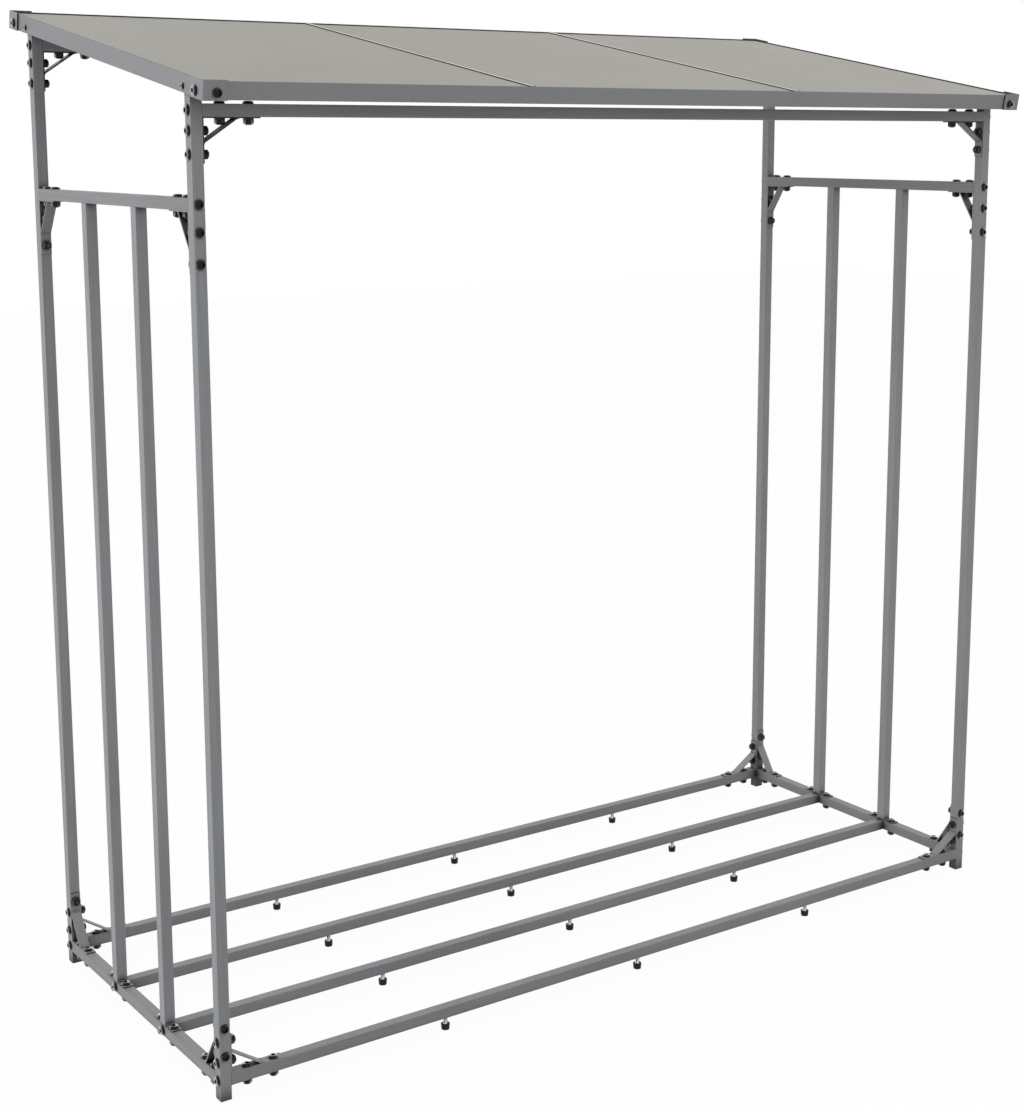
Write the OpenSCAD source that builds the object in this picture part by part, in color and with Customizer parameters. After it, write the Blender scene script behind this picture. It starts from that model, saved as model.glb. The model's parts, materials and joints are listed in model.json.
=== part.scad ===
// Log store: an open frame of square steel tube under a sloping roof of sheet panels.
// X runs along the length, Y runs from the open front to the rear, and Z is up.
// The origin is on the ground, under the middle of the frame.

/* [Frame] */
// Side of the square tube that the posts, rails and slats are cut from
tube = 20; // [16:1:30]
// Wall of the square tube
tube_wall = 1; // [0.8:0.1:2]
// Outside radius of the tube's corners
tube_edge = 0.8; // [0.4:0.1:3]
// Inside radius of the tube's corners
tube_bend = 0.3; // [0.2:0.1:3]
// Length over the posts
frame_l = 1774; // [1200:2:2400]
// Depth over the posts
frame_d = 677; // [520:1:900]
// Height of the bottom rails' undersides above the ground
rail_lift = 24.5; // [20:0.5:60]
// Height of the upper side rails' undersides above the ground
side_rail_z = 1468; // [1100:1:1500]
// Clear gap between the front top rail and the roof edges, at the posts
front_rail_gap = 16; // [8:0.5:40]
// Clear gap between the rear top rail and the roof edges, at the posts
rear_rail_gap = 11; // [8:0.5:40]

/* [Slats] */
// Distance between the middles of the two slats in each side
slat_spacing = 212; // [150:1:260]
// Length of the plate welded under each slat
slat_foot_l = 75; // [60:1:90]
// Thickness of the plate welded under each slat
slat_foot_t = 2; // [1.5:0.1:4]

/* [Corner braces] */
// Length of a brace's long leg
brace_long = 98; // [85:1:130]
// Length of a brace's short leg
brace_short = 71; // [62:1:100]
// Thickness of the bent plate
brace_t = 2; // [1.5:0.1:4]
// How far the plates on a tube stay inside its sides
plate_margin = 0.5; // [0:0.1:2]
// Thickness of the strut welded across the bent plate
strut_t = 2.5; // [1.5:0.1:4]
// Where the strut lands on the long leg, from the corner
strut_long = 62; // [50:1:70]
// Where the strut lands on the short leg, from the corner
strut_short = 41; // [34:1:48]

/* [Levelling feet] */
// How far the middle foot lies to the right of a long rail's middle
foot_shift = -6; // [-30:1:30]
// Distance from one foot to the next along a rail
foot_pitch = 436; // [250:1:450]
// Feet under each long rail
foot_count = 3; // [2:1:3]
// Diameter of the threaded stem
stem_d = 8; // [6:0.5:10]
// Diameter of the rubber cap at its top
cap_d = 16; // [14:0.5:24]
// Diameter of the rubber cap where it meets the ground
cap_base_d = 14.6; // [12:0.2:22]
// Height of the rubber cap
cap_h = 10.5; // [8:0.5:16]
// Depth of the socket in the cap that the stem stands in
cap_socket = 2.5; // [1:0.5:6]
// Clearance round the stem in its socket
socket_gap = 0.3; // [0.1:0.1:0.6]

/* [Roof] */
// Slope of the roof, up towards the rear
roof_pitch = 10; // [5:0.5:15]
// Height of the middle of the roof edges above the origin
roof_z = 1719.5; // [1500:0.5:2100]
// How far the side edges stand out past the posts
side_overhang = 6.5; // [4:0.5:20]
// How far the front and rear edges reach past the posts
eave = 62; // [40:0.5:100]
// Height of the roof edges
edge_h = 28.5; // [24:0.5:45]
// Wall of the section that the roof edges are cut from
edge_wall = 1.2; // [0.8:0.1:2]
// Depth of the ledge that carries the panels
ledge_d = 30; // [28:0.5:50]
// How far the roof edges stand above the panels
edge_lip = 2; // [1:0.5:6]
// Sheet that the panels are folded from
panel_t = 0.6; // [0.5:0.1:1.5]
// Depth of a panel's turned-down right edge, under the lap of the next panel
panel_fold = 15; // [8:0.5:25]
// Clearance between a turned-down edge and the ledges
fold_gap = 2; // [0.5:0.5:5]
// Clear gap between a turned-down edge and the ramp of the next panel
panel_gap = 2; // [1:0.5:4]
// How far each panel laps over the one on its left
lap = 14; // [10:0.5:30]
// Length of the ramp from a lap down to the ledges
lap_ramp = 4; // [2:0.5:10]
// Width of the hem folded back along a lap's edge
hem = 7; // [4:0.5:9]
// Clear gap inside the hem
hem_gap = 0.7; // [0.2:0.1:2]
// Thickness of the sealing tape in a lap
tape_t = 0.9; // [0.4:0.1:2]
// Width of the sealing tape in a lap
tape_w = 8; // [4:0.5:9]
// How far the sealing tape stays behind the lap's edge
tape_inset = 0.5; // [0:0.1:1]
// Width of the rubber seal round the panels
seal_w = 3; // [2:0.5:6]
// How far the seal stays below the top of the roof edges
seal_drop = 0.4; // [0.2:0.1:1]

/* [Roof corners] */
// Length of each leg of a corner bracket, outside
bracket_leg = 42; // [35:0.5:60]
// Thickness of a corner bracket
bracket_t = 1; // [0.8:0.1:3]
// Thickness of the rubber pad inside a corner bracket
pad_t = 2; // [1:0.1:4]
// How far the pad stays below the upper edge of its bracket
pad_drop = 1.5; // [0:0.1:2]
// How far the pad stays above the lower edge of its bracket
pad_lift = 0.4; // [0:0.1:2]
// How far a corner bracket stands above the roof edges
bracket_rise = 2.3; // [0:0.1:4]
// How far a corner bracket reaches below the roof edges
bracket_drop = 0.8; // [0:0.1:4]

/* [Bolt holes] */
// Holes for the bolts of the frame and the brackets
bolt_hole = 8.5; // [6.5:0.5:10.5]
// Holes for the small bolts between the side edges and the posts
small_hole = 6.5; // [4.5:0.5:8.5]
// From the corner to the inner bolt of a brace's long leg
long_bolt_in = 33; // [25:0.5:40]
// From the outer bolt of a brace's long leg to the leg's end
long_bolt_end = 16; // [10:0.5:18]
// From the corner to the inner bolt of a brace's short leg
short_bolt_in = 21; // [18:0.5:26]
// From the outer bolt of a brace's short leg to the leg's end
short_bolt_end = 14; // [10:0.5:18]
// From each bolt of a slat's plate to the plate's end
slat_bolt_end = 11.5; // [8:0.5:12]
// From a bracket's outer corner to the bolt in each leg
bracket_bolt = 25; // [18:0.5:28]
// Height of the brackets' bolts above the roof edges' undersides
bracket_bolt_rise = 11; // [9:0.5:14]
// Height of the small bolts above the roof edges' undersides
small_bolt_rise = 9.5; // [7:0.5:14]

/* [Hidden] */

STEEL = [0.53, 0.54, 0.55];
PANEL = [0.67, 0.65, 0.62];
RUBBER = [0.08, 0.08, 0.08];
ZINC = [0.85, 0.86, 0.87];
X = [1, 0, 0];
Y = [0, 1, 0];
Z = [0, 0, 1];
LEFT = -1;
RIGHT = 1;
FRONT = -1;
REAR = 1;
// How far a cutting solid runs past the faces that it cuts
cut = 1;
panel_count = 3;
$fn = 48;

// Inner faces and middle lines of the posts
post_in_x = frame_l / 2 - tube;
post_in_y = frame_d / 2 - tube;
post_mid_x = frame_l / 2 - tube / 2;
post_mid_y = frame_d / 2 - tube / 2;
slat_y = slat_spacing / 2;

// Rails between the posts
long_rail_l = 2 * post_in_x;
side_rail_l = 2 * post_in_y;
rail_top = rail_lift + tube;
plate_w = tube - 2 * plate_margin;

// Bolts along the legs of a brace, from its corner
long_bolts = [long_bolt_in, brace_long - long_bolt_end];
short_bolts = [short_bolt_in, brace_short - short_bolt_end];
slat_bolt = slat_foot_l / 2 - slat_bolt_end;

// The roof, in its own sloping frame
roof_w = frame_l + 2 * side_overhang;
roof_l = (frame_d + 2 * eave) / cos(roof_pitch);
ledge_v = edge_h / 2 - edge_lip - panel_t;
panels_w = roof_w - 2 * edge_wall - 2 * seal_w;
panel_l = roof_l - 2 * edge_wall - 2 * seal_w;
lap_lift = panel_t + tape_t;
fold_l = roof_l - 2 * ledge_d - 2 * fold_gap;
seal_h = panel_t + edge_lip - seal_drop;
bracket_h = edge_h + bracket_rise + bracket_drop;
bracket_reach = pad_t + bracket_t;

// Height of the roof edges' undersides over a line that runs along the length at y
function eave_z(y) = roof_z + y * tan(roof_pitch) - edge_h / 2 / cos(roof_pitch);
front_rail_z = eave_z(-post_mid_y) - front_rail_gap - tube;
rear_rail_z = eave_z(post_mid_y) - rear_rail_gap - tube;

// Where the small bolts cross the middle lines of the posts, in the roof's sloping frame
small_bolt_v = small_bolt_rise - edge_h / 2;
function small_bolt_u(side) = (side * post_mid_y + small_bolt_v * sin(roof_pitch)) / cos(roof_pitch);

// A square with rounded corners
module rounded_square(side, radius) {
    flat = side - 2 * radius;
    square([side, flat], center = true);
    square([flat, side], center = true);
    for (x = [-1, 1], y = [-1, 1])
        translate([x, y] * flat / 2)
            circle(radius);
}

// A length of square tube, up from the origin
module bar(length) {
    linear_extrude(length)
        difference() {
            rounded_square(tube, tube_edge);
            rounded_square(tube - 2 * tube_wall, tube_bend);
        }
}

// A drill along one axis that passes a piece so thick, with its middle at the origin
module drill(axis, thickness, d = bolt_hole) {
    rotate([axis[1] * 90, axis[0] * 90, 0])
        cylinder(d = d, h = thickness + 2 * cut, center = true);
}

// Moves what follows to the roof's sloping frame, at the middle of its edges
module on_roof() {
    translate([0, 0, roof_z])
        rotate([roof_pitch, 0, 0])
            children();
}

// Repeats what is drawn at the front left corner at all four corners
module four_corners() {
    for (end = [0, 1], side = [0, 1])
        mirror([end, 0, 0])
            mirror([0, side, 0])
                children();
}

// A corner post, drilled for its rails and braces and cut off under the roof edge that it carries
module post(end, side) {
    top_rail_z = side == FRONT ? front_rail_z : rear_rail_z;
    long_rail_bolts = [rail_lift + tube / 2, top_rail_z + tube / 2];
    long_brace_bolts = [for (b = short_bolts) each [rail_top + b, top_rail_z - b]];
    side_brace_bolts = [for (b = long_bolts) each [rail_top + b, side_rail_z - b]];
    blank = roof_z + frame_d * tan(roof_pitch);
    color(STEEL)
        difference() {
            translate([end * post_mid_x, side * post_mid_y, 0])
                difference() {
                    bar(blank);
                    for (z = concat(long_rail_bolts, long_brace_bolts))
                        translate([0, 0, z])
                            drill(X, tube);
                    for (z = concat([side_rail_z + tube / 2], side_brace_bolts))
                        translate([0, 0, z])
                            drill(Y, tube);
                }
            on_roof() {
                translate([-roof_w, -roof_l, ledge_v - edge_wall])
                    cube([2 * roof_w, 2 * roof_l, blank]);
                translate([end * post_mid_x, small_bolt_u(side), small_bolt_v])
                    drill(X, tube, small_hole);
            }
        }
}

module front_left_post() { post(LEFT, FRONT); }
module front_right_post() { post(RIGHT, FRONT); }
module rear_left_post() { post(LEFT, REAR); }
module rear_right_post() { post(RIGHT, REAR); }

// A rail along the length, drilled for the braces if it runs between posts
module long_rail(y, z, braced = true) {
    color(STEEL)
        translate([0, y, z + tube / 2])
            difference() {
                translate([-post_in_x, 0, 0])
                    rotate([0, 90, 0])
                        bar(long_rail_l);
                if (braced)
                    for (end = [LEFT, RIGHT], b = long_bolts)
                        translate([end * (post_in_x - b), 0, 0])
                            drill(Z, tube);
            }
}

module front_bottom_rail() { long_rail(-post_mid_y, rail_lift); }
module front_middle_rail() { long_rail(-slat_y, rail_lift, braced = false); }
module rear_middle_rail() { long_rail(slat_y, rail_lift, braced = false); }
module rear_bottom_rail() { long_rail(post_mid_y, rail_lift); }
module front_top_rail() { long_rail(-post_mid_y, front_rail_z); }
module rear_top_rail() { long_rail(post_mid_y, rear_rail_z); }

// A rail across the depth, between a front and a rear post
module side_rail(end, z) {
    color(STEEL)
        translate([end * post_mid_x, 0, z + tube / 2])
            difference() {
                translate([0, -post_in_y, 0])
                    rotate([-90, 0, 0])
                        bar(side_rail_l);
                for (side = [FRONT, REAR], b = short_bolts)
                    translate([0, side * (post_in_y - b), 0])
                        drill(Z, tube);
            }
}

// A bottom side rail is also drilled for the slats' plates and the ends of the middle rails
module bottom_side_rail(end) {
    color(STEEL)
        difference() {
            side_rail(end, rail_lift);
            for (side = [FRONT, REAR])
                translate([end * post_mid_x, side * slat_y, rail_lift + tube / 2]) {
                    drill(X, tube);
                    for (y = [-slat_bolt, slat_bolt])
                        translate([0, y, 0])
                            drill(Z, tube);
                }
        }
}

module left_bottom_rail() { bottom_side_rail(LEFT); }
module right_bottom_rail() { bottom_side_rail(RIGHT); }
module left_upper_rail() { side_rail(LEFT, side_rail_z); }
module right_upper_rail() { side_rail(RIGHT, side_rail_z); }

// An upright in a side, with the plate under it that bolts to the bottom rail
module slat(end, side) {
    foot_top = rail_top + slat_foot_t;
    color(STEEL)
        translate([end * post_mid_x, side * slat_y, 0]) {
            translate([0, 0, rail_top + slat_foot_t / 2])
                difference() {
                    cube([plate_w, slat_foot_l, slat_foot_t], center = true);
                    for (y = [-slat_bolt, slat_bolt])
                        translate([0, y, 0])
                            drill(Z, slat_foot_t);
                }
            translate([0, 0, foot_top])
                bar(side_rail_z - foot_top);
        }
}

module left_front_slat() { slat(LEFT, FRONT); }
module left_rear_slat() { slat(LEFT, REAR); }
module right_front_slat() { slat(RIGHT, FRONT); }
module right_rear_slat() { slat(RIGHT, REAR); }

// A plate bent round a corner at the origin, with a strut welded across it
module brace_profile() {
    run = [brace_t / 2 - strut_long, strut_short - brace_t / 2];
    inward = [-run[1], run[0]] / norm(run) * strut_t;
    heel = [strut_long, brace_t / 2];
    head = heel + run;
    translate([brace_t, 0])
        square([brace_long - brace_t, brace_t]);
    translate([0, brace_t])
        square([brace_t, brace_short - brace_t]);
    intersection() {
        translate([brace_t, brace_t])
            circle(brace_t);
        square(brace_t);
    }
    intersection() {
        polygon([heel, head, head + inward, heel + inward]);
        translate([brace_t / 2, brace_t / 2])
            square([brace_long, brace_short]);
    }
}

// The whole brace, with two bolt holes in each leg
module brace() {
    difference() {
        linear_extrude(plate_w, center = true)
            brace_profile();
        for (b = long_bolts)
            translate([b, brace_t / 2, 0])
                drill(Y, brace_t);
        for (b = short_bolts)
            translate([brace_t / 2, b, 0])
                drill(X, brace_t);
    }
}

// Long leg along X on a rail, short leg up a post
module long_brace() {
    rotate([90, 0, 0])
        brace();
}

// Long leg up a post, short leg along Y on a rail
module side_brace() {
    rotate([0, -90, 0])
        brace();
}

module bottom_long_braces() {
    color(STEEL)
        four_corners()
            translate([-post_in_x, -post_mid_y, rail_top])
                long_brace();
}

module bottom_side_braces() {
    color(STEEL)
        four_corners()
            translate([-post_mid_x, -post_in_y, rail_top])
                side_brace();
}

module upper_side_braces() {
    color(STEEL)
        four_corners()
            translate([-post_mid_x, -post_in_y, side_rail_z])
                mirror(Z)
                    side_brace();
}

module top_long_braces() {
    color(STEEL)
        for (end = [0, 1], rail = [[FRONT, front_rail_z], [REAR, rear_rail_z]])
            mirror([end, 0, 0])
                translate([-post_in_x, rail[0] * post_mid_y, rail[1]])
                    mirror(Z)
                        long_brace();
}

// Places what follows on the ground under each foot of the long rail at y
module each_foot(y) {
    for (i = [0 : foot_count - 1])
        translate([foot_shift + (i - (foot_count - 1) / 2) * foot_pitch, y, 0])
            children();
}

module foot_stems(y) {
    seat = cap_h - cap_socket;
    color(ZINC)
        each_foot(y)
            translate([0, 0, seat])
                cylinder(d = stem_d, h = rail_lift - seat);
}

module front_foot_stems() { foot_stems(-post_mid_y); }
module front_middle_foot_stems() { foot_stems(-slat_y); }
module rear_middle_foot_stems() { foot_stems(slat_y); }
module rear_foot_stems() { foot_stems(post_mid_y); }

// Rubber caps that taper a little towards the ground, each with a socket for its stem
module foot_caps(y) {
    socket_r = stem_d / 2 + socket_gap;
    floor_z = cap_h - cap_socket;
    color(RUBBER)
        each_foot(y)
            rotate_extrude()
                polygon([
                    [0, 0], [cap_base_d / 2, 0], [cap_d / 2, cap_h - cap_socket],
                    [cap_d / 2, cap_h], [socket_r, cap_h], [socket_r, floor_z], [0, floor_z]
                ]);
}

module front_foot_caps() { foot_caps(-post_mid_y); }
module front_middle_foot_caps() { foot_caps(-slat_y); }
module rear_middle_foot_caps() { foot_caps(slat_y); }
module rear_foot_caps() { foot_caps(post_mid_y); }

// Section of a roof edge: a web, a ledge under the panels and a lip that bears on the posts
module edge_section() {
    translate([0, -edge_h / 2])
        square([edge_wall, edge_h]);
    translate([0, ledge_v - edge_wall])
        square([ledge_d, edge_wall]);
    translate([0, -edge_h / 2])
        square([side_overhang, edge_wall]);
}

// A roof edge along X with its outer face at y = 0, mitred ends and holes for two brackets
module roof_edge(length, small_bolts = []) {
    bracket_hole = length / 2 + bracket_reach - bracket_bolt;
    color(STEEL)
        difference() {
            intersection() {
                translate([-length / 2, 0, 0])
                    rotate([90, 0, 90])
                        linear_extrude(length)
                            edge_section();
                linear_extrude(2 * edge_h, center = true)
                    polygon([
                        [-length / 2, 0], [length / 2, 0],
                        [length / 2 - ledge_d, ledge_d], [ledge_d - length / 2, ledge_d]
                    ]);
            }
            for (x = [-bracket_hole, bracket_hole])
                translate([x, edge_wall / 2, bracket_bolt_rise - edge_h / 2])
                    drill(Y, edge_wall);
            for (x = small_bolts)
                translate([x, edge_wall / 2, small_bolt_v])
                    drill(Y, edge_wall, small_hole);
        }
}

module roof_front_edge() {
    on_roof()
        translate([0, -roof_l / 2, 0])
            roof_edge(roof_w);
}

module roof_rear_edge() {
    on_roof()
        translate([0, roof_l / 2, 0])
            rotate([0, 0, 180])
                roof_edge(roof_w);
}

module roof_left_edge() {
    on_roof()
        translate([-roof_w / 2, 0, 0])
            rotate([0, 0, -90])
                roof_edge(roof_l, [-small_bolt_u(FRONT), -small_bolt_u(REAR)]);
}

module roof_right_edge() {
    on_roof()
        translate([roof_w / 2, 0, 0])
            rotate([0, 0, 90])
                roof_edge(roof_l, [small_bolt_u(FRONT), small_bolt_u(REAR)]);
}

// Left and right edges of a panel's sheet, counted from the left
function panel_left(i) = (i / panel_count - 0.5) * panels_w;
function panel_right(i) = panel_left(i + 1) + (i < panel_count - 1 ? lap - panel_gap : 0);

// Section of the first panel: a plain sheet on the ledges
module plain_section(i) {
    translate([panel_left(i), 0])
        square([panel_right(i) - panel_left(i), panel_t]);
}

// Section of the other panels: hemmed and raised where they lap over the one on the left
module lapped_section(i) {
    left = panel_left(i);
    right = panel_right(i);
    bend = hem_gap / 2 + panel_t;
    fold = left + bend;
    ramp_end = left + lap + lap_ramp;
    polygon([
        [fold, lap_lift], [left + lap, lap_lift], [ramp_end, 0], [right, 0],
        [right, panel_t], [ramp_end, panel_t], [left + lap, lap_lift + panel_t],
        [fold, lap_lift + panel_t]
    ]);
    translate([fold, lap_lift + bend]) {
        intersection() {
            difference() {
                circle(bend);
                circle(bend - panel_t);
            }
            translate([-bend, -bend])
                square([bend, 2 * bend]);
        }
        translate([0, bend - panel_t])
            square([hem - bend, panel_t]);
    }
}

// A sheet on the ledges, turned down under the lap of the panel on its right
module roof_panel(i) {
    color(PANEL)
        on_roof()
            translate([0, 0, ledge_v]) {
                rotate([90, 0, 0])
                    linear_extrude(panel_l, center = true)
                        if (i == 0)
                            plain_section(i);
                        else
                            lapped_section(i);
                if (i < panel_count - 1)
                    translate([panel_right(i) - panel_t, -fold_l / 2, -panel_fold])
                        cube([panel_t, fold_l, panel_fold + panel_t]);
            }
}

module left_roof_panel() { roof_panel(0); }
module middle_roof_panel() { roof_panel(1); }
module right_roof_panel() { roof_panel(2); }

// One rubber frame round the panels, with a tape across it in each lap
module roof_seal() {
    color(RUBBER)
        on_roof()
            translate([0, 0, ledge_v]) {
                linear_extrude(seal_h)
                    difference() {
                        square([panels_w, panel_l] + 2 * [seal_w, seal_w], center = true);
                        square([panels_w, panel_l], center = true);
                    }
                for (i = [1 : panel_count - 1])
                    translate([panel_left(i) + tape_inset, -(panel_l + seal_w) / 2, panel_t])
                        cube([tape_w, panel_l + seal_w, tape_t]);
            }
}

// Plan of a strip bent round a corner at the origin, between two distances outside it
module corner_strip(near, far) {
    reach = bracket_leg - bracket_reach;
    translate([0, -far])
        square([reach, far - near]);
    translate([-far, 0])
        square([far - near, reach]);
    difference() {
        intersection() {
            circle(far);
            translate([-far, -far])
                square(far);
        }
        if (near > 0)
            circle(near);
    }
}

// A strip round the outside of a roof corner, drilled through both legs and drawn at the front left
module roof_corner(end, side, near, far, lift = 0, drop = 0) {
    hole = bracket_bolt - bracket_reach;
    middle = (near + far) / 2;
    hole_z = bracket_bolt_rise - edge_h / 2;
    on_roof()
        mirror([end == RIGHT ? 1 : 0, 0, 0])
            mirror([0, side == REAR ? 1 : 0, 0])
                translate([-roof_w / 2, -roof_l / 2, 0])
                    difference() {
                        translate([0, 0, lift - edge_h / 2 - bracket_drop])
                            linear_extrude(bracket_h - lift - drop)
                                corner_strip(near, far);
                        translate([hole, -middle, hole_z])
                            drill(Y, far - near);
                        translate([-middle, hole, hole_z])
                            drill(X, far - near);
                    }
}

// A plate bent round a roof corner, over its rubber pad
module roof_bracket(end, side) {
    color(STEEL)
        roof_corner(end, side, pad_t, bracket_reach);
}

module roof_corner_pads() {
    color(RUBBER)
        for (end = [LEFT, RIGHT], side = [FRONT, REAR])
            roof_corner(end, side, 0, pad_t, pad_lift, pad_drop);
}

module front_left_roof_bracket() { roof_bracket(LEFT, FRONT); }
module front_right_roof_bracket() { roof_bracket(RIGHT, FRONT); }
module rear_left_roof_bracket() { roof_bracket(LEFT, REAR); }
module rear_right_roof_bracket() { roof_bracket(RIGHT, REAR); }

front_left_post();
front_right_post();
rear_left_post();
rear_right_post();
front_bottom_rail();
front_middle_rail();
rear_middle_rail();
rear_bottom_rail();
left_bottom_rail();
right_bottom_rail();
left_upper_rail();
right_upper_rail();
front_top_rail();
rear_top_rail();
left_front_slat();
left_rear_slat();
right_front_slat();
right_rear_slat();
bottom_long_braces();
bottom_side_braces();
upper_side_braces();
top_long_braces();
front_foot_stems();
front_middle_foot_stems();
rear_middle_foot_stems();
rear_foot_stems();
front_foot_caps();
front_middle_foot_caps();
rear_middle_foot_caps();
rear_foot_caps();
roof_front_edge();
roof_rear_edge();
roof_left_edge();
roof_right_edge();
left_roof_panel();
middle_roof_panel();
right_roof_panel();
roof_seal();
front_left_roof_bracket();
front_right_roof_bracket();
rear_left_roof_bracket();
rear_right_roof_bracket();
roof_corner_pads();
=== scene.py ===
# %% [markdown]
# # A log store of coated steel tube
# A log store is an open rack: four posts, a floor of four long rails, slatted ends and a lean-to
# roof of three sheets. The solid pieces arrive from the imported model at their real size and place.
# This lesson gives each of them its finish, adds the bolts, nuts, threads and weld beads that the
# solids leave out, and then sets the camera and the light.

# %% Load the solid pieces
import json
import math

import bpy
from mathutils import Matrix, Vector


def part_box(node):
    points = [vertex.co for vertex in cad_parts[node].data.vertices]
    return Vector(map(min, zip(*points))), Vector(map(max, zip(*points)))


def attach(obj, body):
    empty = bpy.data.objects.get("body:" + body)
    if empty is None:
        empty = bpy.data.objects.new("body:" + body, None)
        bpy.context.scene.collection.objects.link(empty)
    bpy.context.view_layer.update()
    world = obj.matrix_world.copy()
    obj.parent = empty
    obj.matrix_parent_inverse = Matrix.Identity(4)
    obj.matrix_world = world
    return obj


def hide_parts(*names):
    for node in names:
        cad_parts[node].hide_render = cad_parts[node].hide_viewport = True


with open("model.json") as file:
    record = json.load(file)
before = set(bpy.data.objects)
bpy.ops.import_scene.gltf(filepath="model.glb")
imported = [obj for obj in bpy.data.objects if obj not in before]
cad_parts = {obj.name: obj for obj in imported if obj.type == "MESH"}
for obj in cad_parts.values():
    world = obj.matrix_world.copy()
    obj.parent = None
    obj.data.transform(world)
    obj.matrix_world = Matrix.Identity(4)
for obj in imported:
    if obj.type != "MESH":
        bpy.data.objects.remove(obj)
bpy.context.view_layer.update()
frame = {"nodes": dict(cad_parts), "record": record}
print("solid pieces:", len(frame["nodes"]))

# %% [markdown]
# ## Small helpers
# A maker thinks in millimetres and picks paint by its sRGB code, and Blender works in metres and
# linear light, so two tiny converters come first. The third helper adds one node to any tree, gives
# it its settings and fills its inputs: an input takes either a plain value or another node's output.

# %% Millimetres, colours and nodes
MM = 0.001


def linear(code):
    """An sRGB hex colour as linear red, green, blue and alpha."""
    parts = [int(code[i:i + 2], 16) / 255 for i in (1, 3, 5)]
    return [p / 12.92 if p <= 0.04045 else ((p + 0.055) / 1.055) ** 2.4 for p in parts] + [1.0]


def add(tree, kind, settings=None, inputs=None):
    """Add one node, with its settings and with its inputs set or linked."""
    node = tree.nodes.new(kind)
    for key, value in (settings or {}).items():
        setattr(node, key, value)
    for key, value in (inputs or {}).items():
        if isinstance(value, bpy.types.NodeSocket):
            tree.links.new(value, node.inputs[key])
        else:
            node.inputs[key].default_value = value
    return node


print("mid grey in linear light:", round(linear("#808080")[0], 3))

# %% [markdown]
# ## The camera
# The photograph looks down a little on the left front corner of the store. Its place, turn and
# focal length were worked out from the straight edges of the tubes. The picture is a crop, so the
# optical axis is not in its middle, and a small lens shift puts it there. Matching a camera to
# straight edges is better than moving it by eye, because every later comparison rests on it.

# %% Set the camera
PHOTO_SIZE = (1024, 1110)
FOCAL_PIXELS = 1897.22
AXIS_PIXEL = (552.35, 457.18)
SENSOR = 36.0
CAMERA_PLACE = (-2129.6 * MM, -3044.3 * MM, 1582.5 * MM)
CAMERA_DOWN = math.radians(9.618)
CAMERA_RIGHT = math.radians(35.304)
FARTHEST = 100.0

scene = bpy.context.scene
camera_data = bpy.data.cameras.new("photo_camera")
camera_data.sensor_width = SENSOR
camera_data.lens = FOCAL_PIXELS * SENSOR / max(PHOTO_SIZE)
camera_data.shift_x = (PHOTO_SIZE[0] / 2 - AXIS_PIXEL[0]) / max(PHOTO_SIZE)
camera_data.shift_y = (AXIS_PIXEL[1] - PHOTO_SIZE[1] / 2) / max(PHOTO_SIZE)
camera_data.clip_end = FARTHEST
camera = bpy.data.objects.new("photo_camera", camera_data)
camera.location = CAMERA_PLACE
camera.rotation_euler = (math.pi / 2 - CAMERA_DOWN, 0, -CAMERA_RIGHT)
scene.collection.objects.link(camera)
scene.camera = camera
print("lens in mm:", round(camera_data.lens, 2))

# %% [markdown]
# ## Floor, white surround and light
# The store stands in a white studio. A large round soft box stands on the left at half the store's
# height, so near that the left end is lit more than the right one. It makes the left faces the
# brightest. A weaker box high in front fills the fronts of the tubes, one overhead on the right
# lights the roof and the tops, one behind lifts the rear rails, and the surround gives the rest. A
# sun would be simpler, but it lights both ends alike and throws the roof's shadow down the far end.
# The camera and reflections see the surround as white, while the light it sheds stays lower. The
# floor keeps a trace of the shadow.

# %% Light the studio
SURROUND_LIGHT = 0.70
STORE_MIDDLE = Vector((0, 0, 0.8))
BOXES = {"left_box": {"place": (-5.6, 0.3, 1.6), "width": 2.4, "watts": 90},
         "high_front_box": {"place": (-1.0, -4.6, 4.0), "width": 3.0, "watts": 24},
         "overhead_box": {"place": (1.5, 0.0, 4.8), "width": 3.0, "watts": 29},
         "rear_box": {"place": (0.5, 5.2, 2.6), "width": 3.0, "watts": 16}}


def seen_directly(tree):
    """1 where the camera looks, straight or through a reflection or glass, and 0 for shed light."""
    path = add(tree, "ShaderNodeLightPath").outputs
    seen = path["Is Camera Ray"]
    for ray in ("Is Glossy Ray", "Is Transmission Ray"):
        either = add(tree, "ShaderNodeMath", {"operation": "MAXIMUM"}, {0: seen, 1: path[ray]})
        seen = either.outputs[0]
    return seen


scene.view_settings.view_transform = "Standard"
world = bpy.data.worlds.new("white_studio")
world.use_nodes = True
scene.world = world
tree = world.node_tree
tree.nodes.clear()
level = add(tree, "ShaderNodeMapRange", {},
            {"Value": seen_directly(tree), "To Min": SURROUND_LIGHT, "To Max": 1.0})
surround = add(tree, "ShaderNodeBackground", {},
               {"Color": linear("#ffffff"), "Strength": level.outputs[0]})
add(tree, "ShaderNodeOutputWorld", {}, {"Surface": surround.outputs[0]})

for name, box in BOXES.items():
    light = bpy.data.lights.new(name, "AREA")
    light.shape = "DISK"
    light.size = box["width"]
    light.energy = box["watts"]
    lamp = bpy.data.objects.new(name, light)
    lamp.location = box["place"]
    lamp.rotation_euler = (lamp.location - STORE_MIDDLE).to_track_quat("Z", "Y").to_euler()
    scene.collection.objects.link(lamp)
print("soft boxes:", list(BOXES))

# %% Lay the floor
FLOOR_HALF = 14.0
FLOOR_GLOW = 0.95

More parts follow.
